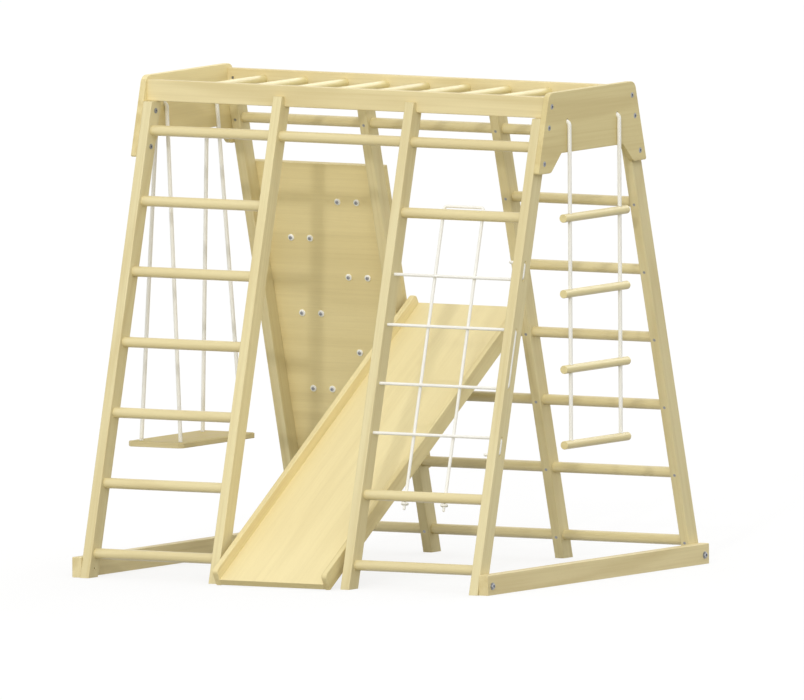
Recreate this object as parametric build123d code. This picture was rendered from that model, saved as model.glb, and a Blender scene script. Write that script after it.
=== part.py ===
from build123d import *
from math import atan, cos, degrees, pi, sin, sqrt, tan
import os

# Wooden climbing frame with slide, swing, rope ladder and rope net.
# Millimetres, +Z up, +X to the right and +Y to the back as seen from the front.
# Pieces are drawn about the middle of the frame on the floor and moved together at the end,
# so that the origin is the bottom centre of the whole object's box.

# Frame
overall_width = 1182.0  # across the outer faces of the base rails
overall_height = 1208.0  # floor to the top of the end boards
base_length = 1062.0
base_thick = 26.0
base_height = 50.0
leg_thick = 25.0
leg_depth = 45.0  # square to the leg's slope
leg_foot = 538.0  # outer face of a leg at the floor, from the middle
leg_head = 205.2  # the same face at full height
middle_leg_x = 187.5
edge_round = 2.5

# Top rails and monkey bars
rail_thick = 20.0
rail_height = 52.0
rail_face = 202.0  # outer face of a top rail, from the middle
rail_top = 1197.5
leg_lap = 25.5  # a middle leg's tongue over the rail
bar_radius = 11.0
bar_count = 9
bar_pitch = 115.7
bar_z = 1173.0
bar_seat = 12.0

# End boards
board_thick = 15.0
board_drop = 151.0  # height at the middle
ear_drop = 196.5
ear_width = 62.0
ear_slant = 50.0
board_corner = 24.0
ear_corner = 18.0  # under the slanted edge
ear_tip = 5.0  # at the leg's outer face
hole_y = 119.0
hole_z = 1135.0

# Rungs
rung_radius = 13.0
rung_rows = 7
rung_low_z = 58.0
rung_pitch = 169.5
rung_seat = 20.0  # how deep a rung's end sits in a leg
fit_gap = 0.15

# Climbing panel and holds
panel_thick = 15.0
panel_top_z = 963.0
panel_bottom_z = 208.0
hold_count = 7
hold_top_z = 869.0
hold_pitch = 94.5
hold_side = 74.0
hold_size = (104.0, 64.0, 32.0)
hold_round = 28.0
hold_taper = 18.0
hold_crown = 10.0
hold_bolt_gap = 54.0
washer_radius = 8.5
washer_thick = 3.0
washer_round = 2.0
panel_screw_z = (930.0, 700.0, 480.0, 262.0)

# Slide
slide_width = 324.0
slide_length = 1137.5
slide_angle = 32.3
slide_rail_thick = 15.0
slide_rail_height = 43.5
deck_thick = 15.0
deck_rise = 1.5
slide_rest = 13.5  # from the rung's axis up to the underside of the side rails
slide_corner = 11.0
hook_x = 99.0
hook_thick = 18.0
hook_reach = 33.0
hook_low = 22.0
hook_corner = 5.0
hook_gap = 0.25

# Ropes
thick_rope = 5.0  # radius of the ladder's and swing's ropes
net_rope = 4.0
rope_bend = 10.0
rope_clear = 0.6  # between a rope and the board it lies along
bore_gap = 0.4

# Swing
seat_size = (156.5, 359.0, 13.0)
seat_top = 306.0
seat_inwards = 8.5  # from below the end board towards the frame
seat_corner = 10.5
seat_hole_x = 56.0
seat_hole_y = 147.0
seat_bore = 6.2
stop_radius = 11.5  # buttons on the rope ends, sunk in the seat's underside
stop_pocket = 6.0
stop_gap = 0.3
swing_pivot_z = 1050.0
loop_gap = 6.0  # from the pivot up to where the rope over the board ends
strand_gap = 14.0  # from the pivot down to where the swinging strands begin

# Rope ladder
ladder_count = 4
ladder_low_z = 340.5
ladder_pitch = 185.5
ladder_rung_radius = 10.5
ladder_rung_length = 305.0
ladder_pivot_z = 1121.0
ladder_gap = 3.0
ladder_knot = (10.5, 17.0)

# Net
net_x = 366.0
net_half = 56.0
net_rows = (190.0, 69.0, -72.0, -191.0)  # crossing ropes above and below the net's middle
net_tail = 41.0
net_turn = 5.2  # how far before and after a corner the rope turns
net_over = 21.3  # from the upper rung's axis up to the rope that crosses it
net_stub = 20.0
net_knot = (9.8, 8.0)
net_knot_tail = 16.0
net_proud = 1.6  # how far the crossing rope stands out of its grooves
weave = 4.3  # half the distance between the crossing ropes and the upright ones

# Fasteners
bolt_radius = 3.0
bolt_head = (6.8, 3.5)
head_proud = 0.4  # of the heads that are let into the end boards
hold_bolt_head = (4.3, 2.4)
base_washer = (8.9, 1.5)
sleeve_radius = 4.4
sleeve_length = 14.0
sleeve_flange = (6.5, 2.0)
socket_radius = 3.4
socket_depth = 2.6
barrel_radius = 3.6
barrel_length = 16.0
barrel_inset = 15.0
barrel_slot = 1.4
screw_head = (3.6, 2.2)
screw_shank = (1.7, 22.0)
panel_screw_head = (4.2, 2.6)
panel_screw_shank = (2.0, 32.0)
base_bolt_y = 508.5
base_bolt_z = 22.0
board_bolt_z = (1122.5, 1036.0)
rail_bolt_z = 1174.0
rail_bolt_radius = 2.0

# Worked out
slope = (leg_foot - leg_head) / overall_height
lean = atan(slope)
leg_flat = leg_depth / cos(lean)
end_x = overall_width / 2 - base_thick  # outer face of the end legs
board_x = end_x + board_thick
end_leg_x = end_x - leg_thick / 2
leg_x = (-end_leg_x, -middle_leg_x, middle_leg_x, end_leg_x)
rail_bottom = rail_top - rail_height
rail_inner = rail_face - rail_thick
rope_x = board_x + thick_rope + rope_clear
net_bend = 0.45 * sqrt(2) * net_turn / tan(pi / 8)  # the largest that its short runs allow
swing_x = -(end_x + board_thick / 2)
strand_x = board_thick / 2 + thick_rope + rope_clear
FRONT = -1
BACK = 1
UP = Vector(0, 0, 1)
ALONG_X = Vector(1, 0, 0)
ALONG_Y = Vector(0, 1, 0)
STANDING = (Align.CENTER, Align.CENTER, Align.MIN)

pieces = {}
rope_names = []
rope_arcs = {}
rope_shares = {}


def outer_y(z):
    return leg_foot - slope * z


def inner_y(z):
    return outer_y(z) - leg_flat


def middle_y(z):
    return outer_y(z) - leg_flat / 2


def outward(side):
    # Normal of the legs' outer faces on that side.
    return Vector(0, side * cos(lean), sin(lean))


def upward(side):
    # Up along the legs of that side.
    return Vector(0, -side * sin(lean), cos(lean))


def row_z(row):
    return rung_low_z + (rung_rows - row) * rung_pitch


def in_legs(side, x, z, out=0.0):
    # A point in the middle plane of one side's legs, moved outwards by out.
    return Vector(x, side * middle_y(z), z) + outward(side) * out


def rod(start, end, radius):
    start = Vector(*start)
    end = Vector(*end)
    run = end - start
    return Plane(origin=start, z_dir=run) * Cylinder(radius, run.length, align=STANDING)


def plate(points, x, thick):
    # A board whose outline is given as (y, z), from x to x + thick.
    outline = make_face(Polyline(*points, close=True))
    return extrude(Plane.YZ.offset(x) * outline, thick)


def tube(points, radius, bend):
    path = FilletPolyline(*points, radius=bend)
    return sweep(Plane(origin=path @ 0, z_dir=path % 0) * Circle(radius), path=path)


def rope(name, points, radius, bend):
    # A tube whose arcs and whose volume, as a share of section times length, are printed at the end.
    shape = tube(points, radius, bend)
    path = FilletPolyline(*points, radius=bend)
    rope_arcs[name] = [round(edge.radius, 1) for edge in path.edges().filter_by(GeomType.CIRCLE)]
    rope_shares[name] = shape.volume / (pi * radius**2 * path.length)
    return shape


def long_edges(shape, length):
    return [edge for edge in shape.edges() if edge.length > length]


def knot(at, axis, radius, length):
    # A stopper knot, flat where it bears on the wood.
    barrel = rod(at, Vector(*at) + axis * length, radius)
    return fillet(barrel.edges(), min(radius, length / 2) * 0.7)


# Legs
def leg(side, x, ends_under_rail):
    top = rail_bottom if ends_under_rail else rail_bottom + leg_lap
    outline = [(outer_y(0), 0), (inner_y(0), 0), (inner_y(rail_bottom), rail_bottom)]
    if not ends_under_rail:
        outline += [(rail_face, rail_bottom), (rail_face, top)]
    outline.append((outer_y(top), top))
    post = plate([(side * y, z) for y, z in outline], x - leg_thick / 2, leg_thick)
    return fillet(long_edges(post, rail_bottom * 0.9), edge_round)


legs = {}
for side, word in ((FRONT, "front"), (BACK, "back")):
    for number, x in enumerate(leg_x, start=1):
        legs[(side, number)] = leg(side, x, number in (1, 4))

# Rungs: side, row, first leg and last leg that it joins
rung_plan = {
    "rung_front_top": (FRONT, 1, 1, 4),
    "net_rung_upper": (FRONT, 2, 3, 4),
    "net_rung_lower": (FRONT, 6, 3, 4),
    "rung_front_right_low": (FRONT, 7, 3, 4),
    "rung_back_top": (BACK, 1, 1, 4),
    "rung_back_right_2": (BACK, 2, 3, 4),
    "rung_back_right_3": (BACK, 3, 3, 4),
    "slide_rest_rung": (BACK, 4, 2, 4),
    "rung_back_5": (BACK, 5, 2, 4),
    "rung_back_6": (BACK, 6, 2, 4),
    "rung_back_low": (BACK, 7, 1, 4),
}
for row in range(2, rung_rows + 1):
    rung_plan[f"front_left_{row}"] = (FRONT, row, 1, 2)

rungs = {}
screws = []
leg_cuts = {key: [] for key in legs}
rung_cuts = {name: [] for name in rung_plan}


def countersunk(head, shank, spread=0.0):
    # A screw whose head lies in the plane z = 0 and whose shank points up.
    cone = Cone(head[0] + spread, shank[0] + spread, head[1], align=STANDING)
    pin = Cylinder(shank[0] + spread, shank[1] + head[1], align=STANDING)
    return cone + pin


def cross_recess(radius, depth):
    bar = Box(2 * radius, radius / 2.5, depth, align=STANDING)
    return bar + Rot(0, 0, 90) * bar


recess_width = 0.55  # of a screw head's radius
recess_depth = 0.6  # of its height
rung_screw = countersunk(screw_head, screw_shank)
rung_screw -= cross_recess(screw_head[0] * recess_width, screw_head[1] * recess_depth)
rung_screw_bore = countersunk(screw_head, screw_shank, fit_gap)

for name, (side, row, first, last) in rung_plan.items():
    z = row_z(row)
    seat = rung_seat - leg_thick / 2
    x_first = leg_x[first - 1] - seat
    x_last = leg_x[last - 1] + seat
    y = side * middle_y(z)
    rungs[name] = rod((x_first, y, z), (x_last, y, z), rung_radius)
    bore = rod((x_first - 2 * fit_gap, y, z), (x_last + 2 * fit_gap, y, z), rung_radius + fit_gap)
    for number in range(first, last + 1):
        head = in_legs(side, leg_x[number - 1], z, -leg_depth / 2)
        place = Plane(origin=head, z_dir=outward(side))
        screws.append(place * rung_screw)
        leg_cuts[(side, number)] += [bore, place * rung_screw_bore]
        rung_cuts[name].append(place * rung_screw_bore)

# Top rails with seats for the monkey bars
bar_x = [(number - (bar_count - 1) / 2) * bar_pitch for number in range(bar_count)]
bar_end = rail_inner + bar_seat
rails = {}
for side in (FRONT, BACK):
    rail_y = side * (rail_face + rail_inner) / 2
    rail = Pos(0, rail_y, rail_bottom) * Box(2 * end_x, rail_thick, rail_height, align=STANDING)
    rail = fillet(long_edges(rail, end_x), edge_round)
    for x in bar_x:
        mouth = (x, side * (rail_inner - bar_seat), bar_z)
        floor = (x, side * (bar_end + fit_gap), bar_z)
        rail -= rod(mouth, floor, bar_radius + fit_gap)
    rails[side] = rail
bars = [rod((x, -bar_end, bar_z), (x, bar_end, bar_z), bar_radius) for x in bar_x]
pieces["monkey_bars"] = bars

# End boards
ear_z = overall_height - ear_drop
board_z = overall_height - board_drop


def end_board(x):
    half = [
        (leg_head, overall_height),
        (outer_y(ear_z), ear_z),
        (outer_y(ear_z) - ear_width, ear_z),
        (outer_y(ear_z) - ear_width - ear_slant, board_z),
    ]
    outline = half + [(-y, z) for y, z in reversed(half)]
    board = plate(outline, x, board_thick)
    across = board.edges().filter_by(Axis.X)
    board = fillet([edge for edge in across if edge.center().Z > overall_height - 1], board_corner)
    for radius, at_tip in ((ear_corner, False), (ear_tip, True)):
        low = [edge for edge in board.edges().filter_by(Axis.X) if edge.center().Z < ear_z + 1]
        tips = outer_y(ear_z) - ear_width / 2
        board = fillet([edge for edge in low if (abs(edge.center().Y) > tips) == at_tip], radius)
    return fillet([edge for edge in board.edges() if abs(edge.tangent_at(0.5).X) < 0.5], edge_round * 0.6)


boards = {"left": end_board(-board_x), "right": end_board(end_x)}
board_cuts = {"left": [], "right": []}

# Base rails
bases = {}
base_x = end_x + base_thick / 2
for word, x in (("left", -base_x), ("right", base_x)):
    base = Pos(x, 0, 0) * Box(base_thick, base_length, base_height, align=STANDING)
    bases[word] = fillet([edge for edge in base.edges() if edge.center().Z > 1], edge_round)

# Bolts, sleeve nuts and barrel nuts
bolts = []
sleeves = []
barrels = []
base_cuts = {"left": [], "right": []}
rail_cuts = {FRONT: [], BACK: []}


def socket(at, inwards, radius=socket_radius):
    place = Plane(origin=at, z_dir=inwards)
    return place * extrude(RegularPolygon(radius, 6), socket_depth)


def bolt(at, inwards, length, washer=False, head_size=bolt_head, radius=bolt_radius):
    # A round-headed bolt whose head or washer lies on the wood at the point given.
    head_radius, head_height = head_size
    base = Vector(*at)
    shape = rod(base, base + inwards * length, radius)
    if washer:
        seat = base - inwards * base_washer[1]
        shape += rod(base, seat, base_washer[0])
        base = seat
    top = base - inwards * head_height
    head = rod(base, top, head_radius)
    circles = head.edges().filter_by(GeomType.CIRCLE)
    rim = [edge for edge in circles if (edge.arc_center - top).length < 0.5]
    key = socket_radius * head_radius / bolt_head[0]
    return shape + fillet(rim, head_height * 0.5) - socket(top, inwards, key)


def sleeve(at, outwards):
    # A flanged sleeve nut pressed into a leg's inner face.
    face = Vector(*at)
    top = face - outwards * sleeve_flange[1]
    shape = rod(face, face + outwards * sleeve_length, sleeve_radius) + rod(top, face, sleeve_flange[0])
    bore = rod(face, face + outwards * sleeve_length, bolt_radius + fit_gap)
    return shape - bore - socket(top, outwards)


def end_leg(word, y):
    return (FRONT if y < 0 else BACK, 4 if word == "right" else 1)


def head_seat(way, y, z):
    # The floor of a bolt head's counterbore in an end board, and the counterbore.
    floor = (way * (board_x + head_proud - bolt_head[1]), y, z)
    return floor, rod(floor, (way * (board_x + 1), y, z), bolt_head[0] + fit_gap)


def board_bolt(word, y, z):
    # Through an end board and the end leg into a sleeve nut in the leg's inner face.
    way = 1 if word == "right" else -1
    inner_face = end_x - leg_thick
    at, counterbore = head_seat(way, y, z)
    mouth = (way * inner_face, y, z)
    floor = (way * (inner_face + sleeve_length + fit_gap), y, z)
    bolts.append(bolt(at, ALONG_X * -way, board_x - inner_face - socket_depth * 3))
    sleeves.append(sleeve(mouth, ALONG_X * way))
    shank = rod(at, mouth, bolt_radius + fit_gap)
    leg_cuts[end_leg(word, y)] += [shank, rod(mouth, floor, sleeve_radius + fit_gap)]
    board_cuts[word] += [shank, counterbore]


def rail_bolt(word, side):
    # Through an end board into a barrel nut that is let into the top rail's inner face.
    way = 1 if word == "right" else -1
    rail_y = side * (rail_face + rail_inner) / 2
    nut_x = way * (end_x - barrel_inset)
    at, counterbore = head_seat(way, rail_y, rail_bolt_z)
    reach = abs(at[0] - nut_x) + barrel_radius
    bolts.append(bolt(at, ALONG_X * -way, reach, radius=rail_bolt_radius))
    end = (nut_x - way * 2 * barrel_radius, rail_y, rail_bolt_z)
    shank = rod(at, end, rail_bolt_radius + fit_gap)
    board_cuts[word] += [shank, counterbore]
    nut_face = Vector(nut_x, side * rail_inner, rail_bolt_z)
    nut = rod(nut_face, nut_face + ALONG_Y * side * barrel_length, barrel_radius)
    slot = Pos(*nut_face) * Box(barrel_slot, 2 * socket_depth, 2 * barrel_radius)
    barrels.append(nut - shank - slot)
    pocket = rod(nut_face, nut_face + ALONG_Y * side * (barrel_length + fit_gap), barrel_radius + fit_gap)
    rail_cuts[side] += [shank, pocket]


def base_bolt(word, y, z):
    # Through a base rail into a threaded sleeve that is let into the end leg's outer face.
    # The hole goes on to the leg's inner face.
    way = 1 if word == "right" else -1
    at = (way * overall_width / 2, y, z)
    mouth = (way * end_x, y, z)
    floor = (way * (end_x - sleeve_length), y, z)
    pocket_floor = (way * (end_x - sleeve_length - fit_gap), y, z)
    shank = rod(at, (way * (end_x - leg_thick), y, z), bolt_radius + fit_gap)
    bolts.append(bolt(at, ALONG_X * -way, base_thick + sleeve_length - socket_depth, washer=True))
    sleeves.append(rod(mouth, floor, sleeve_radius) - shank)
    leg_cuts[end_leg(word, y)] += [shank, rod(mouth, pocket_floor, sleeve_radius + fit_gap)]
    base_cuts[word].append(shank)


for word in ("left", "right"):
    for side in (FRONT, BACK):
        for z in board_bolt_z:
            board_bolt(word, side * middle_y(z), z)
        base_bolt(word, side * base_bolt_y, base_bolt_z)
        rail_bolt(word, side)

# Climbing panel, its holds, bolts and screws
panel_left = -end_x
panel_right = -(middle_leg_x - leg_thick / 2)
panel_middle = (panel_left + panel_right) / 2


def on_panel(x, z):
    # On the legs' outer faces behind the left bay, looking outwards, with y up the slope.
    return Plane(origin=(x, outer_y(z), z), x_dir=(-1, 0, 0), z_dir=outward(BACK))


panel_z = (panel_top_z + panel_bottom_z) / 2
panel_size = (panel_right - panel_left, (panel_top_z - panel_bottom_z) / cos(lean))
panel = extrude(on_panel(panel_middle, panel_z) * Rectangle(*panel_size), panel_thick)
panel = fillet(long_edges(panel, panel_thick * 2), edge_round * 0.6)
panel_screw = countersunk(panel_screw_head, panel_screw_shank)
panel_screw -= cross_recess(panel_screw_head[0] * recess_width, panel_screw_head[1] * recess_depth)
panel_screw_bore = countersunk(panel_screw_head, panel_screw_shank, fit_gap)
panel_screws = []
panel_cuts = []
for number in (1, 2):
    for z in panel_screw_z:
        face = Vector(leg_x[number - 1], outer_y(z), z) + outward(BACK) * panel_thick
        place = Plane(origin=face, z_dir=outward(BACK) * -1)
        panel_screws.append(place * panel_screw)
        panel_cuts.append(place * panel_screw_bore)
        leg_cuts[(BACK, number)].append(place * panel_screw_bore)

hold_base = RectangleRounded(hold_size[0], hold_size[1], hold_round)
hold_block = extrude(hold_base, hold_size[2], taper=hold_taper)
hold_block = fillet(hold_block.faces().sort_by(Axis.Z)[-1].edges(), hold_crown)
hold_grip = hold_size[2] * 0.55
holds = []
hold_bolts = []
washers = []
for number in range(hold_count):
    z = hold_top_z - number * hold_pitch
    x = panel_middle + (hold_side if number % 2 == 0 else -hold_side)
    place = on_panel(x, z)
    block = Pos(0, 0, panel_thick) * hold_block
    for step in (-0.5, 0.5):
        u = step * hold_bolt_gap
        top = (u, 0, -washer_thick)
        tip = (u, 0, panel_thick + hold_grip)
        bore = rod(top, tip, bolt_radius + fit_gap)
        washer = rod(top, (u, 0, 0), washer_radius)
        washer = fillet(washer.edges().sort_by(Axis.Z)[0], washer_round)
        reach = washer_thick + panel_thick + hold_grip - 1
        hold_bolts.append(place * bolt(top, UP, reach, head_size=hold_bolt_head))
        washers.append(place * (washer - bore))
        panel_cuts.append(place * bore)
        block -= bore
    holds.append(place * block)
pieces["climbing_panel"] = panel - panel_cuts
pieces["climbing_holds"] = holds
pieces["hold_bolts"] = hold_bolts
pieces["hold_washers"] = washers
pieces["panel_screws"] = panel_screws

# Slide: drawn in its own plane, x up the slope and y square to it, from above the rung that it rests on
rest_z = row_z(4)
rest_y = middle_y(rest_z)
slide_rad = slide_angle * atan(1) / 45
slide_up = Vector(0, cos(slide_rad), sin(slide_rad))
slide_out = Vector(0, -sin(slide_rad), cos(slide_rad))
slide_foot = (rest_z + slide_rest * cos(slide_rad)) / sin(slide_rad)
slide_head = slide_length - slide_foot
slide_origin = Vector(0, rest_y, rest_z) + slide_out * slide_rest


def along_slide(x):
    return Plane(origin=slide_origin + ALONG_X * x, x_dir=slide_up, z_dir=ALONG_X)


def slide_strip(x, thick, low, high):
    strip = Pos(-slide_foot, low) * Rectangle(slide_length, high - low, align=(Align.MIN, Align.MIN))
    return extrude(along_slide(x) * strip, thick)


def upper_edges(edges):
    # Those of a side rail's edges that lie along its upper face.
    middle = slide_rail_height / 2
    return [edge for edge in edges if (edge.center() - slide_origin).dot(slide_out) > middle]


deck_half = slide_width / 2 - slide_rail_thick
for word, x in (("left", -slide_width / 2), ("right", deck_half)):
    rail = slide_strip(x, slide_rail_thick, 0, slide_rail_height)
    rail = fillet(upper_edges(rail.edges().filter_by(Axis.X)), slide_corner)
    tops = upper_edges(long_edges(rail, slide_length * 0.9))
    pieces[f"slide_rail_{word}"] = fillet(tops, edge_round)
pieces["slide_deck"] = slide_strip(-deck_half, 2 * deck_half, deck_rise, deck_rise + deck_thick)

hook_body = RectangleRounded(2 * hook_reach, hook_low + deck_rise, hook_corner)
hook_outline = Pos(0, (deck_rise - hook_low) / 2) * hook_body
hook_outline += Pos(0, deck_rise - hook_corner) * Rectangle(2 * hook_reach, 2 * hook_corner)
hook_notch = Pos(0, -slide_rest) * Circle(rung_radius + hook_gap)
hook_notch += Pos(0, -slide_rest - hook_low) * Rectangle(2 * (rung_radius + hook_gap), 2 * hook_low)
for word, x in (("left", -hook_x), ("right", hook_x)):
    profile = hook_outline - hook_notch
    pieces[f"slide_hook_{word}"] = extrude(along_slide(x - hook_thick / 2) * profile, hook_thick)

# Swing: seat, the rope over the end board's holes, and the strands that swing below
seat_bottom = seat_top - seat_size[2]
seat_x = swing_x + seat_inwards
seat = Pos(seat_x, 0, seat_bottom) * Box(*seat_size, align=STANDING)
seat = chamfer(seat.edges().filter_by(Axis.Z), seat_corner)
seat = fillet(seat.edges().filter_by(Plane.XY), edge_round * 0.6)
rope_stops = []
for side, word in ((FRONT, "front"), (BACK, "back")):
    strands = []
    ends = []
    for way in (-1, 1):
        top = Vector(swing_x + way * strand_x, side * hole_y, hole_z)
        under = Vector(seat_x + way * seat_hole_x, side * seat_hole_y, seat_bottom)
        foot = under + UP * (stop_pocket + stop_gap)

        def at_height(z):
            return top + (foot - top) * ((hole_z - z) / (hole_z - foot.Z))

        ends.append(at_height(swing_pivot_z + loop_gap))
        strands.append(rod(at_height(swing_pivot_z - strand_gap), foot, thick_rope))
        seat -= rod(under, under + UP * (seat_size[2] + 1), seat_bore)
        seat -= rod(under, under + UP * stop_pocket, stop_radius + stop_gap)
        button = rod(under + UP * stop_gap, under + UP * (stop_pocket - stop_gap), stop_radius)
        rope_stops.append(fillet(button.edges().filter_by(GeomType.CIRCLE), 1.5))
    outside = (swing_x - strand_x, side * hole_y, hole_z)
    inside = (swing_x + strand_x, side * hole_y, hole_z)
    loop = [ends[0], outside, inside, ends[1]]
    pieces[f"swing_rope_{word}_loop"] = rope(f"swing_rope_{word}_loop", loop, thick_rope, rope_bend)
    board_cuts["left"].append(tube(loop, thick_rope + bore_gap, rope_bend))
    pieces[f"swing_rope_{word}_strands"] = strands
    rope_names += [f"swing_rope_{word}_loop", f"swing_rope_{word}_strands"]
pieces["swing_seat"] = seat
pieces["swing_rope_stops"] = rope_stops

# Rope ladder: a link for each rung, which turns about the rung above it
ladder_tops = []
ladder_knots = []
ladder_links = []
for side in (FRONT, BACK):
    y = side * hole_y
    route = [(end_x, y, hole_z), (rope_x, y, hole_z), (rope_x, y, ladder_pivot_z + ladder_gap)]
    ladder_tops.append(rope("ladder_rope_tops", route, thick_rope, rope_bend))
    bore = [(end_x - 5, y, hole_z)] + route[1:]
    board_cuts["right"].append(tube(bore, thick_rope + bore_gap, rope_bend))
    ladder_knots.append(knot((end_x, y, hole_z), ALONG_X * -1, *ladder_knot))
pieces["ladder_rope_tops"] = ladder_tops
pieces["ladder_knots"] = ladder_knots
rope_names.append("ladder_rope_tops")
rope_end = ladder_rung_radius - 1.5
upper = ladder_pivot_z - ladder_gap
for number in range(1, ladder_count + 1):
    z = ladder_low_z + (ladder_count - number) * ladder_pitch
    half = ladder_rung_length / 2
    ladder_rung = rod((rope_x, -half, z), (rope_x, half, z), ladder_rung_radius)
    ladder_rung = fillet(ladder_rung.edges().filter_by(GeomType.CIRCLE), 1.5)
    link = []
    for side in (FRONT, BACK):
        y = side * hole_y
        link.append(rod((rope_x, y, upper), (rope_x, y, z - rope_end), thick_rope))
        ladder_rung -= Pos(rope_x, y, z) * Cylinder(thick_rope + bore_gap, 4 * ladder_rung_radius)
    pieces[f"ladder_rung_{number}"] = ladder_rung
    pieces[f"ladder_ropes_{number}"] = link
    rope_names.append(f"ladder_ropes_{number}")
    upper = z - ladder_rung_radius - 0.5

# Net: the upright rope, behind the crossing rope by two rope radii
upper_z = row_z(2)
lower_z = row_z(6)
net_up = upward(FRONT)
net_left = net_x - net_half
net_right = net_x + net_half


def beside_rung(x, z, up):
    # A point on the upright rope's plane, up along the legs from a rung's height.
    return in_legs(FRONT, x, z, -weave) + net_up * up


knot_top = -(rung_radius + fit_gap)
upright = [
    beside_rung(net_left, lower_z, knot_top),
    beside_rung(net_left, upper_z, net_over - net_turn),
    beside_rung(net_left + net_turn, upper_z, net_over),
    beside_rung(net_right - net_turn, upper_z, net_over),
    beside_rung(net_right, upper_z, net_over - net_turn),
    beside_rung(net_right, lower_z, knot_top),
]
pieces["net_rope_upright"] = rope("net_rope_upright", upright, net_rope, net_bend)
below = net_up * net_knot[1]
bore = tube([upright[0] - below] + upright[1:5] + [upright[5] - below], net_rope + bore_gap, net_bend)
rung_cuts["net_rung_upper"].append(bore)
rung_cuts["net_rung_lower"].append(bore)
net_knots = []
for low in (upright[0], upright[5]):
    stopper = knot(low, net_up * -1, *net_knot)
    tail_top = low - net_up * (net_knot[1] / 2)
    net_knots.append(stopper + rod(tail_top, tail_top - net_up * net_knot_tail, net_rope * 0.85))
pieces["net_knots"] = net_knots

# The crossing rope runs to and fro between the two legs, and from one row to the next in grooves
# in their outer faces
middle_z = (upper_z + lower_z) / 2
groove_depth = net_rope - net_proud  # from a leg's face to the rope's middle
groove_half = net_rope + bore_gap
left_x = middle_leg_x - leg_thick / 2 + groove_depth
right_x = end_x - groove_depth
stub_x = end_x - leg_thick - net_stub
row_heights = [middle_z + height for height in net_rows]
top_z = row_heights[0] + net_tail
low_z = row_heights[3] - net_tail
crossing = [(stub_x, top_z), (right_x - net_turn, top_z), (right_x, top_z - net_turn)]
for number, z in enumerate(row_heights):
    start, end = (right_x, left_x) if number % 2 == 0 else (left_x, right_x)
    turn = net_turn if start < end else -net_turn
    crossing += [(start, z + net_turn), (start + turn, z), (end - turn, z), (end, z - net_turn)]
crossing += [(right_x, low_z + net_turn), (right_x - net_turn, low_z), (stub_x, low_z)]
crossing_route = [in_legs(FRONT, x, z, weave) for x, z in crossing]
pieces["net_rope_crossing"] = rope("net_rope_crossing", crossing_route, net_rope, net_bend)
rope_names += ["net_rope_upright", "net_rope_crossing"]


def groove(x, high, low, outwards):
    # A rounded slot from the rope's line out to the leg's face, from one hole to the next.
    top = in_legs(FRONT, x, high, weave)
    bottom = in_legs(FRONT, x, low, weave)
    place = Plane(origin=(top + bottom) * 0.5, x_dir=net_up, z_dir=outwards)
    return extrude(place * SlotCenterToCenter((top - bottom).length, 2 * groove_half), 2 * groove_half)


bore = tube(crossing_route, net_rope + bore_gap, net_bend)
leg_cuts[(FRONT, 3)].append(bore)
leg_cuts[(FRONT, 4)].append(bore)
for high, low in ((0, 1), (2, 3)):
    leg_cuts[(FRONT, 3)].append(groove(left_x, row_heights[high], row_heights[low], ALONG_X * -1))
for high, low in ((top_z, row_heights[0]), (row_heights[1], row_heights[2]), (row_heights[3], low_z)):
    leg_cuts[(FRONT, 4)].append(groove(right_x, high, low, ALONG_X))

# Drilled and finished pieces
for (side, number), post in legs.items():
    word = "front" if side == FRONT else "back"
    pieces[f"leg_{word}_{number}"] = post - leg_cuts[(side, number)]
front_left = []
for name, dowel in rungs.items():
    drilled = dowel - rung_cuts[name]
    if name.startswith("front_left"):
        front_left.append(drilled)
    else:
        pieces[name] = drilled
pieces["rungs_front_left"] = front_left
pieces["top_rail_front"] = rails[FRONT] - rail_cuts[FRONT]
pieces["top_rail_back"] = rails[BACK] - rail_cuts[BACK]
for word in ("left", "right"):
    pieces[f"end_board_{word}"] = boards[word] - board_cuts[word]
    pieces[f"base_rail_{word}"] = bases[word] - base_cuts[word]
pieces["frame_bolts"] = bolts
pieces["sleeve_nuts"] = sleeves
pieces["barrel_nuts"] = barrels
pieces["rung_screws"] = screws

# Move everything so that the origin is the bottom centre of the object's box, and write it out
os.makedirs("parts", exist_ok=True)
solids = {}
for name, shape in pieces.items():
    shapes = shape if isinstance(shape, list) else [shape]
    solids[name] = [solid for one in shapes for solid in one.solids()]
wooden = [group for name, group in solids.items() if name not in rope_names]
boxes = [solid.bounding_box() for group in wooden for solid in group]
shift_x = -(min(box.min.X for box in boxes) + max(box.max.X for box in boxes)) / 2
shift_y = -(min(box.min.Y for box in boxes) + max(box.max.Y for box in boxes)) / 2
for name, group in solids.items():
    moved = [Pos(shift_x, shift_y, 0) * solid for solid in group]
    export_step(Compound(moved) if len(moved) > 1 else moved[0], f"parts/{name}.step")
print("nodes", len(solids), "frame centre", round(shift_x, 3), round(shift_y, 3))
print("lean", round(degrees(lean), 3), "slide pivot y z", round(rest_y + shift_y, 3), rest_z)
for name, arcs in rope_arcs.items():
    print(name, "arc radii", arcs, "volume share", round(rope_shares[name], 4))
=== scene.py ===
from bisect import bisect_left
from math import cos, pi, radians, sin

import bpy
from mathutils import Matrix, Vector


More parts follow.
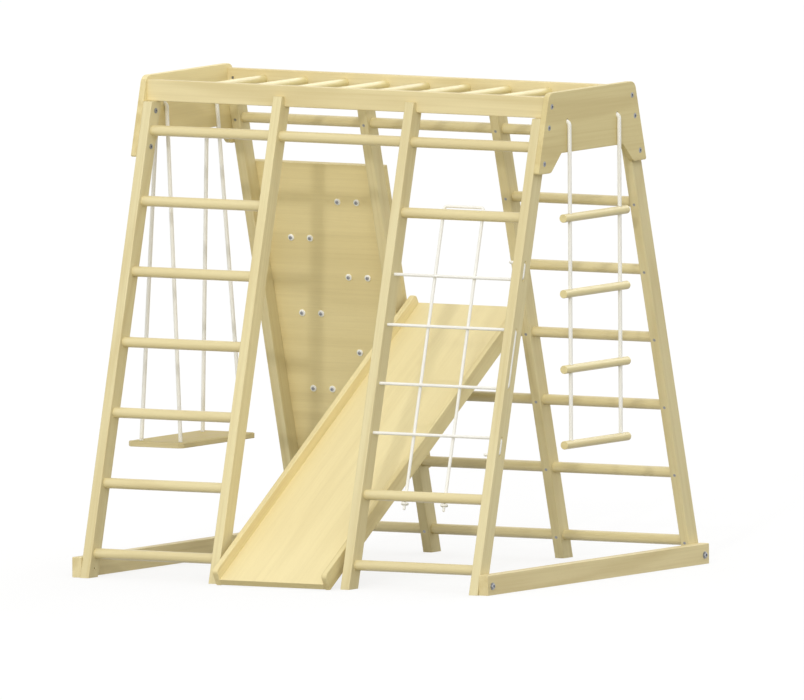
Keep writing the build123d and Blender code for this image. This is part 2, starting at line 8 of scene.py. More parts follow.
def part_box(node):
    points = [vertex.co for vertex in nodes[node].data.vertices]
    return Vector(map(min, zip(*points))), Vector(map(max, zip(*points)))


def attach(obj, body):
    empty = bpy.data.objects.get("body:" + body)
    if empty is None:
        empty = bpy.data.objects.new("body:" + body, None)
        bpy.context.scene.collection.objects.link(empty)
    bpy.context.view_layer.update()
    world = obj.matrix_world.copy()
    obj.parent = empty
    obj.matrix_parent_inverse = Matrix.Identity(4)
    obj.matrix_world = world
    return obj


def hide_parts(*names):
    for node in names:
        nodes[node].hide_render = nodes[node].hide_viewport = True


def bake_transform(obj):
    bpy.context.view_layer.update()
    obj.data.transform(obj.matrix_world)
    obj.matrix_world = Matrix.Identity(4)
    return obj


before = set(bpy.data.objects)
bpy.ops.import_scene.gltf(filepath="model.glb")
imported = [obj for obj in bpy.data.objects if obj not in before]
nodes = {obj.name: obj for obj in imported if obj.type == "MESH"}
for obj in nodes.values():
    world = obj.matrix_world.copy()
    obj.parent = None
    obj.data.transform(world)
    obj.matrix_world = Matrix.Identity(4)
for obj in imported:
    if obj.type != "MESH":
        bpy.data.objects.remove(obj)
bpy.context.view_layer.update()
scene = bpy.context.scene
bpy.ops.object.select_all(action="DESELECT")

# the middle of the wooden frame on the floor, between the two base rails
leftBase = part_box("base_rail_left")
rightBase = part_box("base_rail_right")
centre = (leftBase[0] + rightBase[1]) / 2
centre.z = 0


def fromCentre(x, y, z):
    return centre + Vector((x, y, z))


# camera, floor and light

photoView = {
    "azimuth": radians(30.714),
    "elevation": radians(4.83),
    "roll": radians(-0.298),
    "lookAt": (0, 0, 0.6),
    "sideways": 0.0307,  # from that point to the middle of the picture
    "upwards": -0.0593,
    "width": 1.9655,  # metres across the picture
    "distance": 12,
}


def addCamera(look):
    azimuth, elevation, roll = look["azimuth"], look["elevation"], look["roll"]
    ahead = Vector((-sin(azimuth) * cos(elevation), cos(azimuth) * cos(elevation), -sin(elevation)))
    level = Vector((cos(azimuth), sin(azimuth), 0))
    upright = level.cross(ahead)
    right = level * cos(roll) + upright * sin(roll)
    up = upright * cos(roll) - level * sin(roll)
    target = fromCentre(*look["lookAt"]) + right * look["sideways"] + up * look["upwards"]
    bpy.ops.object.camera_add()
    camera = bpy.context.object
    camera.name = "photoCamera"
    camera.matrix_world = Matrix((right, up, -ahead)).transposed().to_4x4()
    camera.location = target - ahead * look["distance"]
    camera.data.type = "ORTHO"
    camera.data.ortho_scale = look["width"]
    scene.camera = camera


class Shade:  # a node's output that adds Math nodes when it is reckoned with
    def __init__(self, nodeTree, socket):
        self.nodeTree = nodeTree
        self.socket = socket

    def reckon(self, operation, first, second=0.0):
        return self.nodeTree.add("ShaderNodeMath", {"operation": operation}, {0: first, 1: second})

    def __add__(self, other):
        return self.reckon("ADD", self, other)

    def __radd__(self, other):
        return self.reckon("ADD", other, self)

    def __sub__(self, other):
        return self.reckon("SUBTRACT", self, other)

    def __rsub__(self, other):
        return self.reckon("SUBTRACT", other, self)

    def __mul__(self, other):
        return self.reckon("MULTIPLY", self, other)

    def __pow__(self, other):
        return self.reckon("POWER", self, other)

    def __gt__(self, other):
        return self.reckon("GREATER_THAN", self, other)

    def sine(self):
        return self.reckon("SINE", self)

    def size(self):
        return self.reckon("ABSOLUTE", self)


class NodeTree:
    def __init__(self, tree):
        self.tree = tree

    def add(self, kind, settings=None, sockets=None, out=0):
        node = self.tree.nodes.new(kind)
        for name, value in (settings or {}).items():
            setattr(node, name, value)
        self.set(node, sockets or {})
        return Shade(self, node.outputs[out])

    def set(self, node, sockets):
        for name, value in sockets.items():
            if isinstance(value, Shade):
                self.tree.links.new(value.socket, node.inputs[name])
            else:
                node.inputs[name].default_value = value

    def mix(self, amount, first, second):
        pair = [colour if isinstance(colour, Shade) else (*colour, 1) for colour in (first, second)]
        return self.add("ShaderNodeMix", {"data_type": "RGBA"}, {0: amount, 6: pair[0], 7: pair[1]}, 2)

    def noise(self, where, stretch, detail, roughness, wander=0.0):
        spot = self.add("ShaderNodeMapping", None, {"Vector": where, "Scale": stretch})
        shape = {"Scale": 1.0, "Detail": detail, "Roughness": roughness, "Distortion": wander}
        return self.add("ShaderNodeTexNoise", None, {"Vector": spot, **shape})

    def speckle(self, where, perMetre, detail, roughness):  # a noise that is alike in every direction
        return self.noise(where, (perMetre, perMetre, perMetre), detail, roughness)


class Finish(NodeTree):
    def __init__(self, name, constants):
        self.material = bpy.data.materials.new(name)
        self.material.use_nodes = True
        super().__init__(self.material.node_tree)
        self.surface = self.tree.nodes["Principled BSDF"]
        self.set(self.surface, constants)

    def place(self, turn=(0, 0, 0)):
        spot = self.add("ShaderNodeTexCoord", None, None, "Object")
        return self.add("ShaderNodeMapping", None, {"Vector": spot, "Rotation": turn})

    def along(self, way, what):  # how far along a direction a spot lies, or a face looks
        spot = self.add("ShaderNodeTexCoord", None, None, what)
        return self.add("ShaderNodeVectorMath", {"operation": "DOT_PRODUCT"}, {0: spot, 1: way}, "Value")

    def bump(self, height, strength, distance):
        sockets = {"Height": height, "Strength": strength, "Distance": distance}
        return self.add("ShaderNodeBump", None, sockets)

    def feed(self, sockets):
        self.set(self.surface, sockets)
        return self.material


studio = {
    "ambient": 0.81,
    "keyFrom": Vector((0.325, -0.882, 0.342)),  # front, a little to the right and above
    "spot": 0.55,
    "spotSoftness": radians(2),
    "softboxFrom": Vector((0.267, -0.901, 0.342)),
    "softbox": 1.18,
    "softboxSoftness": radians(70),
    "backFrom": Vector((0.084, 0.857, 0.509)),  # shines along the tops of the bars
    "back": 0.85,
    "backSoftness": radians(45),
    "floorSize": 90,
    "floorLevel": -0.0005,
    "floorPaint": (0.94, 0.94, 0.93),
    "floorShade": (0.285, 0.27, 0.205),  # what the floor throws back at the object
    "floorLift": 0.78,  # how much of the camera's view of the floor is plain white
}


def addSun(name, strength, comesFrom, softness):
    bpy.ops.object.light_add(type="SUN")
    lamp = bpy.context.object
    lamp.name = name
    lamp.data.energy = strength
    lamp.data.angle = softness
    lamp.rotation_euler = comesFrom.to_track_quat("Z", "Y").to_euler()


def seenDirectly(tree):
    path = tree.add("ShaderNodeLightPath", None, None, "Is Camera Ray")
    rays = path.socket.node.outputs
    return path + Shade(tree, rays["Is Glossy Ray"]) + Shade(tree, rays["Is Transmission Ray"])


def addStudio(look):
    addSun("spotLight", look["spot"], look["keyFrom"], look["spotSoftness"])
    addSun("softboxLight", look["softbox"], look["softboxFrom"], look["softboxSoftness"])
    addSun("backLight", look["back"], look["backFrom"], look["backSoftness"])

    world = bpy.data.worlds.new("softbox")
    world.use_nodes = True
    scene.world = world
    sky = NodeTree(world.node_tree)
    plain = world.node_tree.nodes["Background"]
    sky.set(plain, {"Color": (1, 1, 1, 1), "Strength": look["ambient"]})
    white = sky.add("ShaderNodeBackground", None, {"Color": (1, 1, 1, 1), "Strength": 1.0})
    lit = Shade(sky, plain.outputs[0])
    both = sky.add("ShaderNodeMixShader", None, {0: seenDirectly(sky), 1: lit, 2: white})
    sky.set(world.node_tree.nodes["World Output"], {"Surface": both})

    bpy.ops.mesh.primitive_plane_add(size=look["floorSize"], location=(0, 0, look["floorLevel"]))
    floor = bpy.context.object
    floor.name = "studioFloor"
    paint = Finish("studioFloorPaint", {"Roughness": 0.9, "Specular IOR Level": 0.0})
    seen = seenDirectly(paint)
    paint.feed({"Base Color": paint.mix(seen, look["floorShade"], look["floorPaint"])})
    glow = paint.add("ShaderNodeEmission", None, {"Color": (1, 1, 1, 1), "Strength": 1.0})
    matt = Shade(paint, paint.surface.outputs[0])
    both = paint.add("ShaderNodeMixShader", None, {0: seen * look["floorLift"], 1: matt, 2: glow})
    paint.set(paint.tree.nodes["Material Output"], {"Surface": both})
    floor.data.materials.append(paint.material)
    scene.view_settings.view_transform = "Standard"


addCamera(photoView)
addStudio(studio)
print("camera, floor and light are up")

# wood

legs = {"footY": 0.538, "headY": 0.2052, "height": 1.208, "depth": 0.045}
lean = radians(15.403)  # of the legs
slideSlope = radians(32.3)
grains = {  # the way the grain runs, and the turn that lays it along x
    "alongX": ((1, 0, 0), (0, 0, 0)),
    "alongY": ((0, 1, 0), (0, 0, -pi / 2)),
    "upFrontLeg": ((0, sin(lean), cos(lean)), (lean, pi / 2, 0)),
    "upBackLeg": ((0, -sin(lean), cos(lean)), (-lean, pi / 2, 0)),
    "downSlide": ((0, cos(slideSlope), sin(slideSlope)), (-slideSlope, 0, -pi / 2)),
}
figures = {  # how often a figure of the wood comes again in a metre, along the grain and twice across
    "growth": (0.75, 8.5, 8.5),
    "cloud": (0.9, 3.0, 3.0),
    "streak": (1.6, 60.0, 60.0),
    "thread": (2.6, 130.0, 130.0),
    "fibre": (9.0, 420.0, 420.0),
    "pore": (42.0, 1300.0, 1300.0),
}
boards = {
    "pale": (0.785, 0.688, 0.378),
    "warm": (0.705, 0.595, 0.298),
    "deep": (0.545, 0.428, 0.185),
    "ringCount": 34.0,
    "ringSharpness": 2.2,
    "ringDepth": 0.42,
    "streakDepth": 0.30,
    "threadSharpness": 3.0,
    "threadDepth": 0.85,
    "fibreDepth": 0.22,
    "poreDepth": 0.18,
    "poreLevel": 0.685,  # where the noise is above it there is a pore
    "endFacing": 0.8,  # a face that looks along the grain more than this shows end grain
    "endDepth": 0.04,  # how much darker the end grain is
    "roughness": 0.44,
    "shine": 0.2,
    "lacquer": 0.08,
    "relief": 0.12,
    "reliefDepth": 0.0004,
}
# painted light: a paler copy of the boards' pine that lights the left end board's inner face under the
# top rail; its end grain is darkened more to keep its front edge down
leftBoardPaintedLight = dict(
    boards,
    pale=(0.920, 0.818, 0.476),
    warm=(0.852, 0.735, 0.405),
    ringDepth=0.2,
    threadDepth=0.5,
    endDepth=0.33,
)
rails = dict(boards, pale=(0.865, 0.768, 0.468), warm=(0.780, 0.668, 0.380))
posts = dict(boards, pale=(0.795, 0.720, 0.450), warm=(0.750, 0.668, 0.402), ringDepth=0.28, shine=0.1)
# painted light: a paler copy of the posts' pine that brightens the front of leg_front_2
paintedLightPost = dict(posts, pale=(0.838, 0.758, 0.466), warm=(0.783, 0.690, 0.402))
slideRails = dict(boards, pale=(0.885, 0.788, 0.460), warm=(0.805, 0.692, 0.372))
# painted light: a paler copy of the slide rails' pine, painting in the light the deck throws onto the
# left rail's inner face
paintedBounceRail = dict(boards, pale=(0.950, 0.845, 0.500), warm=(0.890, 0.765, 0.420), ringDepth=0.2)
dowels = dict(
    boards,
    pale=(0.805, 0.712, 0.410),
    warm=(0.722, 0.618, 0.328),
    ringDepth=0.26,
    threadDepth=0.55,
    roughness=0.36,
    shine=0.5,
    lacquer=0.6,
)
# painted light: paler than the dowels' pine to even out the shade on the bars' undersides
barDowelsPaintedLight = dict(dowels, pale=(0.885, 0.790, 0.425), warm=(0.805, 0.695, 0.350), shine=0.3, lacquer=0.3)
# painted light: paler than the dowels' pine, standing in for the brightness of a highlight along the
# rungs' tops
ladderDowelsPaintedLight = dict(dowels, pale=(0.885, 0.800, 0.445), roughness=0.28, shine=0.05, lacquer=0.65)
plywood = dict(
    boards,
    ringCount=22.0,
    ringDepth=0.34,
    plies=7,
    pliesDepth=0.2,
    edge=(0.760, 0.655, 0.355),
    edgeFacing=0.7,  # a face that looks along the plies' normal less than this is an edge
)
deckLook = dict(
    plywood,
    pale=(0.910, 0.825, 0.500),
    warm=(0.845, 0.722, 0.395),
    ringDepth=0.13,
    streakDepth=0.2,
    threadDepth=0.28,
    facing=(0, -sin(slideSlope), cos(slideSlope)),  # square to its plies
    thick=0.015,
)
panelLook = dict(
    plywood,
    pale=(0.905, 0.800, 0.470),
    warm=(0.840, 0.715, 0.380),
    ringDepth=0.22,
    threadDepth=0.5,
    facing=(0, cos(lean), sin(lean)),
    thick=0.015,
)
seatLook = dict(
    plywood,
    pale=(0.598, 0.514, 0.218),
    warm=(0.516, 0.427, 0.165),
    edge=(0.800, 0.695, 0.405),
    ringCount=48.0,
    ringDepth=0.75,
    threadDepth=1.0,
    facing=(0, 0, 1),
    thick=0.013,
    shine=0.1,
    lacquer=0.0,
)
driftStep = Vector((0.37, 0.629, 0.222))  # from one finish's spot of the grain to the next one's


def woodFinish(name, grain, look, drift):
    wood = Finish(name, {"Coat Roughness": 0.25, "Specular IOR Level": look["shine"]})
    way, turn = grains[grain]
    spot = wood.place(turn)
    spot = wood.add("ShaderNodeMapping", None, {"Vector": spot, "Location": drift})
    growth = wood.noise(spot, figures["growth"], 2.0, 0.45, 0.25)
    rings = ((growth * look["ringCount"]).sine() * 0.5 + 0.5) ** look["ringSharpness"]
    fibre = wood.noise(spot, figures["fibre"], 3.0, 0.65)
    streak = wood.noise(spot, figures["streak"], 2.0, 0.55)
    thread = wood.noise(spot, figures["thread"], 2.0, 0.6, 0.15) ** look["threadSharpness"]
    pore = wood.noise(spot, figures["pore"], 1.0, 0.5) > look["poreLevel"]
    cloud = wood.noise(spot, figures["cloud"], 1.0, 0.5)
    tone = wood.mix(cloud, look["pale"], look["warm"])
    tone = wood.mix(rings * look["ringDepth"], tone, look["deep"])
    tone = wood.mix(streak * look["streakDepth"], tone, look["warm"])
    tone = wood.mix(thread * look["threadDepth"], tone, look["deep"])
    tone = wood.mix(fibre * look["fibreDepth"], tone, look["deep"])
    tone = wood.mix(pore * look["poreDepth"], tone, look["deep"])
    endGrain = wood.along(way, "Normal").size() > look["endFacing"]
    tone = wood.mix(endGrain * (rings + 1) * look["endDepth"], tone, look["deep"])
    height = fibre * 0.6 + rings * 0.25 - pore * 0.5
    if "plies" in look:
        through = wood.along(look["facing"], "Object")
        layer = (through * (look["plies"] * pi / look["thick"])).sine() > 0.0
        edge = 1 - (wood.along(look["facing"], "Normal").size() > look["edgeFacing"])
        depth = layer * look["pliesDepth"] + fibre * look["pliesDepth"]
        layers = wood.mix(depth, look["edge"], look["deep"])
        tone = wood.mix(edge, tone, layers)
        height = height - edge * layer * 0.6
    return wood.feed(
        {
            "Base Color": tone,
            "Roughness": look["roughness"] + fibre * 0.12 - rings * 0.06 + endGrain * 0.2,
            "Coat Weight": (1 - pore * 0.6 - endGrain * 0.3) * look["lacquer"],
            "Normal": wood.bump(height, look["relief"], look["reliefDepth"]),
        }
    )


woodenPieces = [  # finish, grain, look, the pieces that have it
    ("legPineFront", "upFrontLeg", posts, [f"leg_front_{number}" for number in (1, 3, 4)]),
    # painted light on the front of leg_front_2
    ("legPinePaintedLight", "upFrontLeg", paintedLightPost, ["leg_front_2"]),
    ("legPineBack", "upBackLeg", posts, [f"leg_back_{number}" for number in (1, 2, 3, 4)]),
    ("railPine", "alongX", rails, ["top_rail_front", "top_rail_back"]),
    ("boardPine", "alongY", boards, ["end_board_right"]),
    ("basePine", "alongY", rails, ["base_rail_left", "base_rail_right"]),
    # painted light on the monkey bars
    ("barPine", "alongY", barDowelsPaintedLight, ["monkey_bars"]),
    (
        "rungPine",
        "alongX",
        dowels,
        ["rungs_front_left", "rung_front_top", "rung_front_right_low", "net_rung_upper", "net_rung_lower"]
        + ["rung_back_top", "rung_back_right_2", "rung_back_right_3", "slide_rest_rung"]
        + ["rung_back_5", "rung_back_6", "rung_back_low"],
    ),
    # painted light on the ladder rungs
    ("ladderRungPine", "alongY", ladderDowelsPaintedLight, [f"ladder_rung_{number}" for number in (1, 2, 3, 4)]),
    ("panelPlywood", "alongX", panelLook, ["climbing_panel"]),
    ("seatPlywood", "alongY", seatLook, ["swing_seat"]),
    ("deckPlywood", "downSlide", deckLook, ["slide_deck"]),
    ("slideRailPine", "downSlide", slideRails, ["slide_rail_right"]),
    # painted bounce light from the deck on the left slide rail
    ("shadedRailPine", "downSlide", paintedBounceRail, ["slide_rail_left"]),
    ("hookPine", "downSlide", boards, ["slide_hook_left", "slide_hook_right"]),
    # painted light on the left end board's inner face
    ("leftBoardPine", "alongY", leftBoardPaintedLight, ["end_board_left"]),
]


def cover(names, material):
    for name in names:
        mesh = nodes[name].data
        mesh.materials.clear()
        mesh.materials.append(material)


for number, (finishName, grain, look, names) in enumerate(woodenPieces):
    cover(names, woodFinish(finishName, grain, look, driftStep * number))
print("wood is finished")

# steel and plastic

zincSteel = {
    "bright": (0.43, 0.44, 0.46),
    "dull": (0.29, 0.30, 0.32),
    "bloom": 260.0,  # cloudy patches of the plating, in a metre
    "grain": 900.0,
    "roughness": 0.32,
}


def steelFinish(look):
    steel = Finish("zincSteel", {"Metallic": 1.0})
    spot = steel.place()
    bloom = steel.speckle(spot, look["bloom"], 3.0, 0.6)
    grain = steel.speckle(spot, look["grain"], 2.0, 0.6)
    return steel.feed(
        {
            "Base Color": steel.mix(bloom, look["bright"], look["dull"]),
            "Roughness": look["roughness"] + bloom * 0.2,
            "Normal": steel.bump(grain, 0.08, 0.0002),
        }
    )


washerPlastic = {
    "clean": (0.96, 0.96, 0.93),
    "dusty": (0.90, 0.90, 0.86),
    "dust": 180.0,
    "ripple": 1500.0,  # fine unevenness of a moulded skin
    "roughness": 0.28,
}


def washerFinish(look):
    plastic = Finish("washerPlastic", {"Specular IOR Level": 0.5})
    spot = plastic.place()
    dust = plastic.speckle(spot, look["dust"], 3.0, 0.6)
    ripple = plastic.speckle(spot, look["ripple"], 1.0, 0.5)
    return plastic.feed(
        {
            "Base Color": plastic.mix(dust**2.0, look["clean"], look["dusty"]),
            "Roughness": look["roughness"] + dust * 0.15,
            "Normal": plastic.bump(ripple, 0.05, 0.0001),
        }
    )


gripStone = {
    "light": (0.66, 0.55, 0.36),
    "dark": (0.47, 0.37, 0.22),
    "specks": (0.80, 0.72, 0.55),
    "grit": 700.0,
    "patch": 24.0,
    "speck": 420.0,
    "speckLevel": 0.66,
    "speckDepth": 0.35,
    "roughness": 0.62,
}


def gripFinish(look):
    grip = Finish("gripStone", {"Specular IOR Level": 0.3})
    spot = grip.place()
    grit = grip.speckle(spot, look["grit"], 3.0, 0.7)
    patch = grip.speckle(spot, look["patch"], 4.0, 0.6)
    speck = grip.speckle(spot, look["speck"], 1.0, 0.5) > look["speckLevel"]
    tone = grip.mix(patch, look["light"], look["dark"])
    tone = grip.mix(speck * look["speckDepth"], tone, look["specks"])
    return grip.feed(
        {
            "Base Color": tone,
            "Roughness": look["roughness"] + grit * 0.25,
            "Normal": grip.bump(grit + patch * 0.4, 0.35, 0.0006),
        }
    )


cover(
    ["frame_bolts", "sleeve_nuts", "barrel_nuts", "rung_screws", "panel_screws", "hold_bolts"],
    steelFinish(zincSteel),
)
cover(["hold_washers", "swing_rope_stops"], washerFinish(washerPlastic))
print("steel and plastic are finished")

# ropes

braid = {
    "strands": 5,  # in each direction
    "layLength": 0.042,  # of one turn round the rope
    "curveSteps": 24,  # between two points of a route
    "sides": 30,
    "step": 0.0014,  # between two rings of the mesh
    "depth": 0.09,  # of the groove between strands, part of the radius
    "endRound": 0.7,  # how far back from an end it is melted round, part of the radius
    "endThin": 0.45,  # how much thinner it is at the very end
    "clean": (0.93, 0.92, 0.87),
    # painted shade: the rope is darker in the hollows between strands; worn patches take this tone too
    "groove": (0.76, 0.74, 0.67),
    "fuzz": 2400.0,
    "wear": 35.0,
    "wearDepth": 0.12,
    "roughness": 0.72,
}


def ropeFinish(look):
    sheen = {"Sheen Weight": 0.25, "Sheen Roughness": 0.5}
    rope = Finish("whiteBraid", {**sheen, "Specular IOR Level": 0.25})
    crown = rope.add("ShaderNodeAttribute", {"attribute_name": "crown"}, None, "Fac")
    spot = rope.place()
    fuzz = rope.speckle(spot, look["fuzz"], 2.0, 0.7)
    wear = rope.speckle(spot, look["wear"], 2.0, 0.5)
    # painted shade in the hollows between strands, by the crown attribute
    tone = rope.mix(crown, look["groove"], look["clean"])
    tone = rope.mix(wear * look["wearDepth"], tone, look["groove"])
    return rope.feed(
        {
            "Base Color": tone,
            "Roughness": look["roughness"] + fuzz * 0.2,
            "Normal": rope.bump(fuzz + crown, 0.2, 0.0003),
        }
    )


whiteBraid = ropeFinish(braid)


def readLine(name, route):  # points along the smooth line of a route
    curve = bpy.data.curves.new(name, "CURVE")
    curve.dimensions = "3D"
    curve.resolution_u = braid["curveSteps"]
    spline = curve.splines.new("NURBS")
    spline.points.add(len(route) - 1)
    for point, place in zip(spline.points, route):
        point.co = (*place, 1)
    spline.order_u = 3
    spline.use_endpoint_u = True
    guide = bpy.data.objects.new(name, curve)
    scene.collection.objects.link(guide)
    bpy.context.view_layer.update()
    mesh = bpy.data.meshes.new_from_object(guide)
    line = [vertex.co.copy() for vertex in mesh.vertices]
    bpy.data.objects.remove(guide)
    bpy.data.curves.remove(curve)
    bpy.data.meshes.remove(mesh)
    return line


def lengths(line):
    total = [0.0]
    for before, after in zip(line, line[1:]):
        total.append(total[-1] + (after - before).length)
    return total


def evenly(line, step):
    total = lengths(line)
    count = max(2, round(total[-1] / step))
    places = []
    for number in range(count + 1):
        wanted = total[-1] * number / count
        index = min(max(1, bisect_left(total, wanted)), len(line) - 1)
        share = (wanted - total[index - 1]) / max(total[index] - total[index - 1], 1e-9)
        places.append(line[index - 1].lerp(line[index], share))
    return places


def braidRope(name, line, radius):
    look = braid
    places = evenly(line, look["step"])
    sides = look["sides"]
    last = len(places) - 1
    gap = lengths(places)[-1] / last
    melted = radius * look["endRound"]
    across = (places[1] - places[0]).orthogonal().normalized()
    vertices, crowns, faces = [], [], []
    for number, place in enumerate(places):
        before = places[max(number - 1, 0)]
        after = places[min(number + 1, last)]
        fromEnd = min(number, last - number) * gap
        swell = 1 - look["endThin"] * max(0, 1 - fromEnd / melted) ** 2
        ahead = (after - before).normalized()
        across = (across - ahead * across.dot(ahead)).normalized()
        beside = ahead.cross(across)
        twist = 2 * pi * number * gap / look["layLength"]
        for side in range(sides):
            angle = 2 * pi * side / sides
            rightHand = cos(look["strands"] * (angle - twist))
            leftHand = cos(look["strands"] * (angle + twist))
            crown = max(rightHand, leftHand) * 0.5 + 0.5
            reach = radius * swell * (1 - look["depth"] * (1 - crown))
            vertices.append(place + (across * cos(angle) + beside * sin(angle)) * reach)
            crowns.append(crown)
    for ring in range(last):
        for side in range(sides):
            a = ring * sides + side
            b = ring * sides + (side + 1) % sides
            faces.append((a, b, b + sides, a + sides))
    faces.append(tuple(reversed(range(sides))))
    faces.append(tuple(range(last * sides, last * sides + sides)))
    mesh = bpy.data.meshes.new(name)
    mesh.from_pydata(vertices, [], faces)
    mesh.attributes.new("crown", "FLOAT", "POINT").data.foreach_set("value", crowns)
    mesh.shade_smooth()
    mesh.materials.append(whiteBraid)
    rope = bpy.data.objects.new(name, mesh)
    scene.collection.objects.link(rope)
    return rope


def tieKnot(name, node, top, down, look):  # the rope goes round itself below the wood and ends in a tail
    across = down.orthogonal().normalized()
    beside = down.cross(across)
    line = []
    for step in range(look["steps"] + 1):
        share = step / look["steps"]
        angle = 2 * pi * look["turns"] * share
        depth = look["ropeRadius"] + look["climb"] * share
        line.append(top + down * depth + (across * cos(angle) + beside * sin(angle)) * look["wrap"])
    knot = braidRope(name, line, look["ropeRadius"])
    tail = braidRope(name + "Tail", [top, top + down * look["tail"]], look["ropeRadius"])
    bpy.ops.object.select_all(action="DESELECT")
    knot.select_set(True)
    tail.select_set(True)
    bpy.context.view_layer.objects.active = knot
    bpy.ops.object.join()
    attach(knot, "frame")
    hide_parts(node)
    return knot


def layRope(name, route, radius):
    line = readLine(name, route)
    rope = braidRope(name, line, radius)
    lengths(line)[-1]
    return rope


swing = {
    "x": -0.5725,
    "holeY": 0.119,  # holes in the left end board
    "holeZ": 1.135,
    "beside": 0.0131,  # from the board's middle to a strand
    "seatInwards": 0.0085,  # the seat's middle from below the board
    "seatX": 0.056,  # holes in the seat
    "seatY": 0.147,
    "footZ": 0.2993,  # where a strand ends in the seat
    "ropeRadius": 0.005,
    "bendFrom": 1.066,
    "bendTo": 1.012,
}


def hangSwing(look):
    for side, word in ((-1, "Front"), (1, "Back")):
        halves = []
        for way in (-1, 1):
            corner = fromCentre(look["x"] + way * look["beside"], side * look["holeY"], look["holeZ"])
            holeX = look["x"] + look["seatInwards"] + way * look["seatX"]
            foot = fromCentre(holeX, side * look["seatY"], look["footZ"])
            down = (foot - corner).normalized()
            halves.append([foot, corner + down * (2 * look["beside"]), corner])
        route = halves[0] + list(reversed(halves[1]))
        rope = layRope("swingRope" + word, route, look["ropeRadius"])
        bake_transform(rope)
        node = "swing_rope_" + word.lower()
        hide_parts(node + "_loop", node + "_strands")


hangSwing(swing)
print("swing hangs")

ladder = {
    "x": 0.5856,
    "boardX": 0.565,  # inner face of the right end board
    "holeY": 0.119,
    "holeZ": 1.135,
    "rungZ": [0.897, 0.7115, 0.526, 0.3405],
    "ropeRadius": 0.005,
    "turn": 0.027,  # how far below its hole a rope hangs straight
    "inRung": 0.004,  # how far from a rung's middle a rope begins
    "throughRung": 0.0085,
    "bendFrom": 1.136,
    "bendTo": 1.104,
    "foldFrom": 0.008,  # below a rung's middle, where the rope leaves its hole
    "foldTo": 0.034,
    "knot": {
        "turns": 1.6,
        "steps": 48,
        "wrap": 0.0062,  # from the knot's middle to the rope that goes round it
        "ropeRadius": 0.0043,
        "climb": 0.0084,
        "tail": 0.027,
    },
}


def hangLadder(look):
    for side, word in ((-1, "Front"), (1, "Back")):
        y = side * look["holeY"]
        corner = fromCentre(look["x"], y, look["holeZ"])
        inner = fromCentre(look["boardX"], y, look["holeZ"])
        below = corner - Vector((0, 0, look["turn"]))
        foot = fromCentre(look["x"], y, look["rungZ"][0] - look["throughRung"])
        knot = tieKnot(f"ladderKnot{word}", "ladder_knots", inner, Vector((-1, 0, 0)), look["knot"])
        route = [inner, corner, below, foot]
        rope = layRope(f"ladderRope{word}1", route, look["ropeRadius"])
        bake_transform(rope)
        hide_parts("ladder_rope_tops", "ladder_ropes_1")
        for number in (2, 3, 4):
            rungAbove = look["rungZ"][number - 2]
            top = fromCentre(look["x"], y, rungAbove - look["inRung"])
            foot = fromCentre(look["x"], y, look["rungZ"][number - 1] - look["throughRung"])
            route = [top, (top + foot) / 2, foot]
            rope = layRope(f"ladderRope{word}{number}", route, look["ropeRadius"])
            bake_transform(rope)
            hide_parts(f"ladder_ropes_{number}")


hangLadder(ladder)
print("rope ladder hangs")


def legFace(z):  # how far from the middle the legs' outer faces are
    return legs["footY"] - (legs["footY"] - legs["headY"]) * z / legs["height"]


def inFrontLegs(x, z, out):  # a point in the middle plane of the front legs, moved outwards
    y = legs["depth"] / cos(lean) / 2 - legFace(z)
    return fromCentre(x, y, z) + Vector((0, -cos(lean), sin(lean))) * out


net = {
    "left": 0.310,  # the two upright runs
    "right": 0.422,
    "upperZ": 0.9055,  # rungs that hold it
    "lowerZ": 0.2275,
    "knotTop": -0.01315,  # from the lower rung's axis
    "over": 0.0213,  # from the upper rung's axis to the rope above it
    "ropeRadius": 0.004,
    "weave": 0.0043,  # how far the two ropes lie behind and before the legs' middle plane
    "turn": 0.0052,  # how far before and after a corner the rope turns
    "legLeft": 0.1774,  # where the crossing rope lies in the legs' grooves
    "legRight": 0.5626,
    "stubX": 0.520,  # its two ends
    "rows": [0.7565, 0.6355, 0.4945, 0.3755],
    "tail": 0.041,  # from the outermost rows to those ends
    "knot": {
        "turns": 1.35,
        "steps": 40,
        "wrap": 0.0061,
        "ropeRadius": 0.0035,
        "climb": 0.0020,
        "tail": 0.020,
    },
}


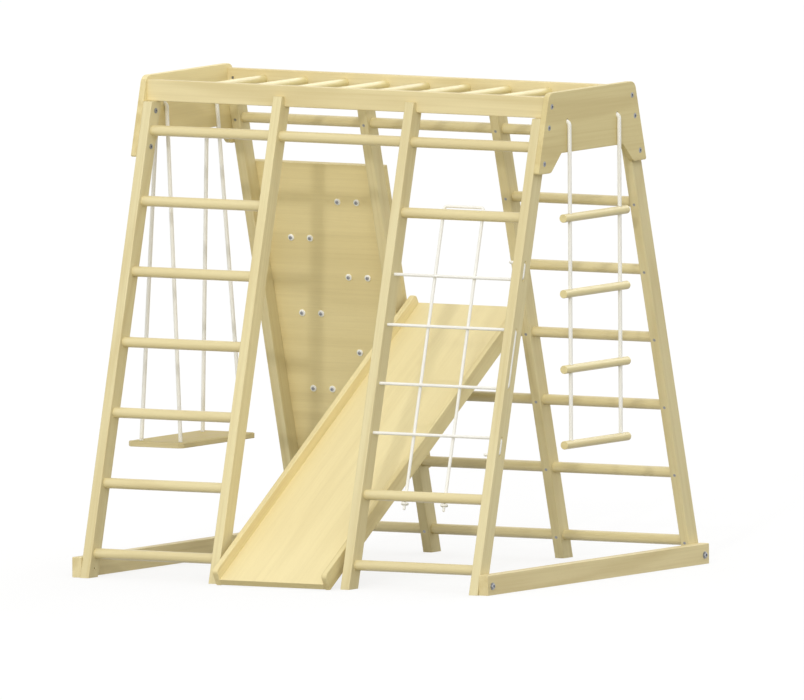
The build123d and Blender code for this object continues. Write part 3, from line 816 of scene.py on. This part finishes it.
def stringNet(look):
    up = Vector((0, sin(lean), cos(lean)))
    turn = look["turn"]
    ease = turn * 2**0.5  # from a turn's point to the next one on a straight stretch

    def beside(x, z, rise):
        return inFrontLegs(x, z, -look["weave"]) + up * rise

    left, right, over = look["left"], look["right"], look["over"]
    route = [
        beside(left, look["lowerZ"], look["knotTop"]),
        beside(left, look["upperZ"], over - turn - ease),
        beside(left, look["upperZ"], over - turn),
        beside(left + turn, look["upperZ"], over),
        beside(left + turn + ease, look["upperZ"], over),
        beside(right - turn - ease, look["upperZ"], over),
        beside(right - turn, look["upperZ"], over),
        beside(right, look["upperZ"], over - turn),
        beside(right, look["upperZ"], over - turn - ease),
        beside(right, look["lowerZ"], look["knotTop"]),
    ]
    knots = [
        tieKnot("netKnot" + word, "net_knots", low, -up, look["knot"])
        for word, low in (("Left", route[0]), ("Right", route[-1]))
    ]
    upright = layRope("netUpright", route, look["ropeRadius"])
    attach(upright, "frame")
    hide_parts("net_rope_upright")

    left, right, stub = look["legLeft"], look["legRight"], look["stubX"]
    top = look["rows"][0] + look["tail"]
    low = look["rows"][3] - look["tail"]
    places = [(stub, top), (right - turn, top), (right, top - turn), (right, top - turn - ease)]
    for number, z in enumerate(look["rows"]):
        start, end, way = (right, left, -1) if number % 2 == 0 else (left, right, 1)
        places += [(start, z + turn + ease), (start, z + turn)]
        places += [(start + way * turn, z), (start + way * (turn + ease), z)]
        places += [(end - way * (turn + ease), z), (end - way * turn, z)]
        places += [(end, z - turn), (end, z - turn - ease)]
    places += [(right, low + turn + ease), (right, low + turn), (right - turn, low), (stub, low)]
    route = [inFrontLegs(x, z, look["weave"]) for x, z in places]
    crossing = layRope("netCrossing", route, look["ropeRadius"])
    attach(crossing, "frame")
    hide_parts("net_rope_crossing")


stringNet(net)
print("net is strung")

# climbing holds on the back of the panel

holds = {
    "count": 7,
    "topZ": 0.869,
    "pitch": 0.0945,
    "middleX": -0.370,
    "side": 0.074,  # left and right of the panel's middle, in turn
    "panelThick": 0.015,
    "width": 0.104,
    "height": 0.064,
    "depth": 0.032,
    "corner": 0.017,
    "block": (0.95, 0.95, 1.85),  # the block it is carved from, in shares of its size
    "ledge": 0.009,  # how far the finger edge is hollowed under its lip
    "ledgeNarrow": 2.2,
    "ledgeShift": 0.9,  # outwards from the panel
    "ledgeFade": 0.6,  # how much shallower the hollow is at its ends
    "lumps": 0.006,
    "lumpSize": 0.022,
    "apart": 0.31,  # between the spots of the stone that two holds are cut from
    "crease": radians(50),
    "grip": gripFinish(gripStone),
}


def applyModifiers(piece):
    bpy.context.view_layer.objects.active = piece
    for modifier in list(piece.modifiers):
        bpy.ops.object.modifier_apply(modifier=modifier.name)


def carveHold(name, look, number):
    bpy.ops.object.select_all(action="DESELECT")
    bpy.ops.mesh.primitive_cube_add(size=1)
    hold = bpy.context.object
    hold.name = name
    sizes = look["width"], look["height"], look["depth"]
    hold.scale = [size * share for size, share in zip(sizes, look["block"])]
    bpy.ops.object.transform_apply(location=False, rotation=False, scale=True)
    bpy.ops.object.mode_set(mode="EDIT")
    bpy.ops.mesh.select_all(action="SELECT")
    bpy.ops.mesh.bevel(offset=look["corner"], segments=3, affect="EDGES")
    bpy.ops.mesh.subdivide(number_cuts=2)
    bpy.ops.object.mode_set(mode="OBJECT")
    hold.modifiers.new("soften", "SUBSURF").levels = 2
    hold.modifiers["soften"].render_levels = 2
    applyModifiers(hold)
    for vertex in hold.data.vertices:
        across = 2 * vertex.co.x / look["width"]
        upwards = max(0, 2 * vertex.co.y / look["height"])
        inner = max(0, 1 - (look["ledgeNarrow"] * vertex.co.z / look["depth"] - look["ledgeShift"]) ** 2)
        vertex.co.y -= look["ledge"] * inner * upwards * (1 - look["ledgeFade"] * across**2)

    stone = bpy.data.textures.new(name + "Stone", "CLOUDS")
    stone.noise_scale = look["lumpSize"]
    lumps = hold.modifiers.new("lumps", "DISPLACE")
    lumps.texture = stone
    lumps.strength = look["lumps"]
    aside = Matrix.Translation((look["apart"] * number, 0, 0))
    hold.data.transform(aside)
    applyModifiers(hold)
    hold.data.transform(aside.inverted())

    bpy.ops.object.mode_set(mode="EDIT")
    bpy.ops.mesh.select_all(action="SELECT")
    bpy.ops.mesh.bisect(plane_co=(0, 0, 0), plane_no=(0, 0, 1), use_fill=True, clear_inner=True)
    bpy.ops.object.mode_set(mode="OBJECT")
    bpy.ops.object.shade_smooth_by_angle(angle=look["crease"])
    return hold


def mountHolds(look):
    out = Vector((0, cos(lean), sin(lean)))
    up = Vector((0, -sin(lean), cos(lean)))
    for number in range(look["count"]):
        z = look["topZ"] - number * look["pitch"]
        x = look["middleX"] + look["side"] * (1 if number % 2 == 0 else -1)
        hold = carveHold(f"climbingHold{number + 1}", look, number)
        place = Matrix((Vector((-1, 0, 0)), up, out)).transposed().to_4x4()
        place.translation = fromCentre(x, legFace(z), z) + out * look["panelThick"]
        hold.data.transform(place)
        hold.data.materials.append(look["grip"])
        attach(hold, "frame")
        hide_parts("climbing_holds")


mountHolds(holds)
print("holds are on the panel")
